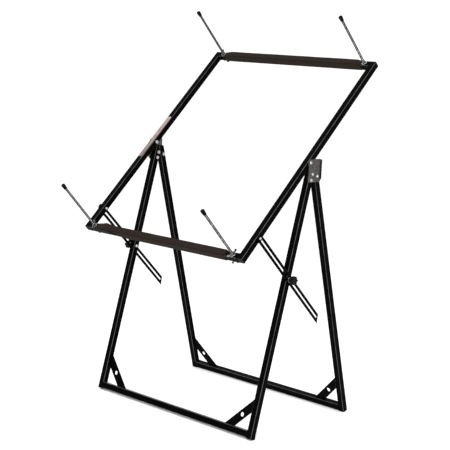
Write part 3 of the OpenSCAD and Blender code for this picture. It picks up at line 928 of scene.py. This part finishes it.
def hinge_plate(side):
    """Zinc channel on the outside of the leg tops: a rounded web with a bent flange at each edge."""
    sign = SIDES[side]
    node = f"{side}_hinge_plate"
    low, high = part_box(node)
    face, out = sorted((abs(low.x), abs(high.x)))
    bm = bmesh.new()
    y0, y1, z0, z1 = low.y, high.y, low.z, high.z
    tf, tr, b = PLATE_R["top_front"], PLATE_R["top_rear"], PLATE_R["bottom"]
    f0, f1 = z0 + FLANGE["front"][0], z1 - FLANGE["front"][1]
    r0, r1 = z0 + FLANGE["rear"][0], z1 - FLANGE["rear"][1]
    outline = arc(y0 + b, z0 + b, b, 180 + CORNER_CUT, 270)
    outline += arc(y1 - b, z0 + b, b, 270, 360 - CORNER_CUT)
    outline += [(y1 - BEND_R, r0 - NOTCH), (y1 - BEND_R, r1 + NOTCH / 4)]
    outline += arc(y1 - BEND_R - tr, z1 - tr, tr, 20, 90, 4) + arc(y0 + tf, z1 - tf, tf, 90, 180, 8)
    outline += [(y0, f1 + NOTCH), (y0 + BEND_R, f1 + NOTCH), (y0 + BEND_R, f0 - NOTCH)]
    slab(bm, outline, face, face + PLATE_T, Matrix.Scale(sign, 4, X) @ SIDE_VIEW)
    bmesh.ops.recalc_face_normals(bm, faces=bm.faces)
    bevelled(bm, 0.4 * MM, 2, 50)
    piece(f"{side}_hinge_web", bm, "front_frame", PLATE, [node])
    # The rear flange takes the near-black finish as painted shade; the front flange is zinc like the web
    for name, edge, inside, z_low, z_high, look in (
            ("front", y0, y1, f0, f1, PLATE), ("rear", y1, y0, r0, r1, FLANGE_PAINTED_SHADE)):
        bm = bmesh.new()
        slab(bm, l_profile(edge, inside, face, out), z_low, z_high, Matrix.Scale(sign, 4, X))
        bmesh.ops.recalc_face_normals(bm, faces=bm.faces)
        bevelled(bm, 0.35 * MM, 2, 60)
        piece(f"{side}_hinge_{name}_flange", bm, "front_frame", look, [node])


for side in SIDES:
    hinge_plate(side)

# ------------------------------------------------------------------ tube plugs
PLUG_T = 2 * MM
PLUG_STUB = 12 * MM
PLUG_STUB_INSET = 1.7 * MM


def plug(bm, place):
    """Square plug on Z = 0: a stub that goes down into the tube and a cap with a softly crowned face."""
    rings = []
    for inset, radius, h in ((PLUG_STUB_INSET, 0.6 * MM, -PLUG_STUB), (PLUG_STUB_INSET, 0.6 * MM, 0),
                             (0, TUBE_R, 0), (0, TUBE_R, 0.9 * MM), (0.35 * MM, TUBE_R, 1.5 * MM),
                             (1.1 * MM, TUBE_R, 1.85 * MM), (TUBE_HALF / 2, TUBE_R, PLUG_T)):
        square = rounded_square(TUBE_HALF - inset, radius, 5)
        rings.append([bm.verts.new(place @ Vector((x, y, h))) for x, y in square])
    for a, b in zip(rings, rings[1:]):
        bridge(bm, a, b)
    bm.faces.new(rings[-1])
    bm.faces.new(list(reversed(rings[0])))


def rail_plugs():
    """The plugs in both ends of both side rails."""
    bm = bmesh.new()
    for side in SIDES:
        middle = Vector((box_centre(f"{side}_side_rail").x, tilt.y, tilt.z))
        for end, way in zip(span("rail_plugs", tilt, along_rail), (-1, 1)):
            plug(bm, frame_at(middle + along_rail * (end - way * PLUG_T), along_rail * way))
    piece("rail_end_plugs", bm, "cradle", PLUG, ["rail_plugs"], angle=50)


rail_plugs()

# ------------------------------------------------------------------ weld beads
BEAD_R = 1.7 * MM
BEAD_SIDES = 10
BEAD_HEIGHT = 0.75  # of its half width
RIPPLE = 3.2 * MM


def bead(bm, path, closed, seed):
    """A low rippled bead along a list of (point, outward direction) pairs."""
    points = [point for point, _out in path]
    lengths = [0.0]
    pairs = list(zip(points, points[1:] + ([points[0]] if closed else [])))
    for a, b in pairs:
        lengths.append(lengths[-1] + (b - a).length)
    total = lengths[-1]
    count = max(6, int(total / (RIPPLE / 4)))
    rings = []
    for i in range(count + (0 if closed else 1)):
        d = total * i / count
        k = max(j for j in range(len(pairs)) if lengths[j] <= d + 1e-9)
        a, b = pairs[k]
        share = (d - lengths[k]) / max(1e-9, lengths[k + 1] - lengths[k])
        out = path[k][1].lerp(path[(k + 1) % len(path)][1], share).normalized()
        along = (b - a).normalized()
        side = along.cross(out).normalized()
        wave = 0.5 + 0.5 * math.cos(math.tau * d / RIPPLE)
        size = BEAD_R * (0.82 + 0.16 * wave + 0.1 * noise.noise(Vector((d * 300, seed, 0))))
        if not closed:
            size *= min(1.0, 0.35 + min(d, total - d) / (2.5 * BEAD_R))
        centre = a.lerp(b, share)
        ring = []
        for j in range(BEAD_SIDES):
            t = math.tau * j / BEAD_SIDES
            offset = side * math.cos(t) + out * BEAD_HEIGHT * math.sin(t)
            ring.append(bm.verts.new(centre + offset * size))
        rings.append(ring)
    for a, b in zip(rings, rings[1:]):
        bridge(bm, a, b)
    if closed:
        bridge(bm, rings[-1], rings[0])
    else:
        bm.faces.new(list(reversed(rings[0])))
        bm.faces.new(rings[-1])


def butt_weld(bm, centre, z_axis, x_axis, seed):
    """Bead round a square tube's end where it meets another tube."""
    place = frame_at(centre, z_axis, x_axis)
    turn = place.to_3x3()
    path = []
    for x, y in rounded_square(TUBE_HALF - 0.2 * MM, TUBE_R, 3):
        out = Vector((x, y, 0)).normalized()
        path.append((place @ Vector((x, y, -0.1 * MM)), turn @ out))
    bead(bm, path, True, seed)


GUSSET_LEG = 124 * MM
GUSSET_INNER = 76 * MM
GUSSET_HALF_T = 2 * MM


def gusset_welds(bm, corner, inward, up, seed):
    """Beads on both faces of a gusset, where it meets the floor rail and where it meets the leg."""
    face = X.cross(up)
    for way in (-1, 1):
        for along, away in ((inward, up), (up, inward)):
            start = corner + along * GUSSET_INNER + face * way * GUSSET_HALF_T
            end = corner + along * GUSSET_LEG + face * way * GUSSET_HALF_T
            out = (away + face * way).normalized()
            bead(bm, [(start, out), (end, out)], False, seed + way)


def rail_welds(name, node, body, up, seed, gussets):
    """Beads round both ends of a cross rail, and those of its gussets."""
    centre = box_centre(node)
    half_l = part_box(node)[1].x
    bm = bmesh.new()
    for sign in SIDES.values():
        end = Vector((sign * half_l, centre.y, centre.z))
        butt_weld(bm, end, X * sign, up, seed + sign)
        if gussets:
            gusset_welds(bm, end + up * TUBE_HALF, X * -sign, up, seed + 3 * sign)
    piece(name, bm, body, WELD_PAINT, angle=80)


rail_welds("front_floor_rail_welds", "front_floor_rail", "front_frame", front_up, 1, True)
rail_welds("rear_floor_rail_welds", "rear_floor_rail", "rear_frame", rear_up, 9, True)
rail_welds("front_rail_welds", "front_rail", "cradle", normal, 17, False)
rail_welds("back_rail_welds", "back_rail", "cradle", normal, 25, False)

# ------------------------------------------------------------------ floor, lights and camera
def pale_floor():
    """Nearly white matt floor with faint drifts."""
    s = Shader("pale_floor_paint", Specular_IOR_Level=0.2)
    s.colour(s.ramp(s.noise(1.3, 3), [(0.3, (0.93, 0.93, 0.93)), (0.7, (0.96, 0.96, 0.96))]))
    s.roughness(s.grey(s.noise(6, 3), 0.7, 0.9, 0.3, 0.7))
    return s.material


FLOOR_HALF = 30
FLOOR_GAP = 0.5 * MM
mesh = bpy.data.meshes.new("studio_floor")
floor_corners = [(x * FLOOR_HALF, y * FLOOR_HALF, 0) for x, y in ((-1, -1), (1, -1), (1, 1), (-1, 1))]
mesh.from_pydata(floor_corners, [], [(0, 1, 2, 3)])
mesh.materials.append(pale_floor())
floor = bpy.data.objects.new("studio_floor", mesh)
floor.location.z = cad_box[0][2] - FLOOR_GAP
bpy.context.scene.collection.objects.link(floor)

world = bpy.data.worlds.new("studio")
bpy.context.scene.world = world
world.use_nodes = True
sky = world.node_tree.nodes["Background"]
sky.inputs["Color"].default_value = (1, 1, 1, 1)
sky.inputs["Strength"].default_value = 1.12
bpy.context.scene.view_settings.view_transform = "Standard"

# The camera stands in front and to the right, a little above the hinge, looking slightly down
CAMERA_FROM_PIVOT = Vector((3.3085, -3.541037, 0.4698))
CAMERA_YAW, CAMERA_DOWN, CAMERA_ROLL = 42.97, 8.953, 2.603
LENS = 98.66
LIGHTS_AIM = Vector((0, 0, 0.8))


def place_camera():
    """Points the camera by its yaw, how far down it looks and its roll, all in degrees."""
    yaw, down, roll = (math.radians(a) for a in (CAMERA_YAW, CAMERA_DOWN, CAMERA_ROLL))
    look = Vector((-math.sin(yaw) * math.cos(down), math.cos(yaw) * math.cos(down), -math.sin(down)))
    right = look.cross(Vector((0, 0, 1))).normalized()
    up = right.cross(look)
    rolled_right = right * math.cos(roll) + up * math.sin(roll)
    rolled_up = up * math.cos(roll) - right * math.sin(roll)
    data = bpy.data.cameras.new("camera")
    data.sensor_width = 36
    data.lens = LENS
    data.clip_end = 100
    camera = bpy.data.objects.new("camera", data)
    m = Matrix((rolled_right, rolled_up, -look)).transposed().to_4x4()
    m.translation = tilt + CAMERA_FROM_PIVOT
    camera.matrix_world = m
    bpy.context.scene.collection.objects.link(camera)
    bpy.context.scene.camera = camera


place_camera()


def softbox(name, place, size, power):
    """A square lamp that shines at the middle of the stand."""
    data = bpy.data.lights.new(name, "AREA")
    data.shape = "SQUARE"
    data.size = size
    data.energy = power
    lamp = bpy.data.objects.new(name, data)
    place = Vector(place)
    lamp.matrix_world = (LIGHTS_AIM - place).to_track_quat("-Z", "Y").to_matrix().to_4x4()
    lamp.location = place
    bpy.context.scene.collection.objects.link(lamp)


softbox("front_softbox", (3.0, -4.2, 2.6), 1.2, 160)
softbox("top_softbox", (0.5, -1.0, 4.5), 3, 60)
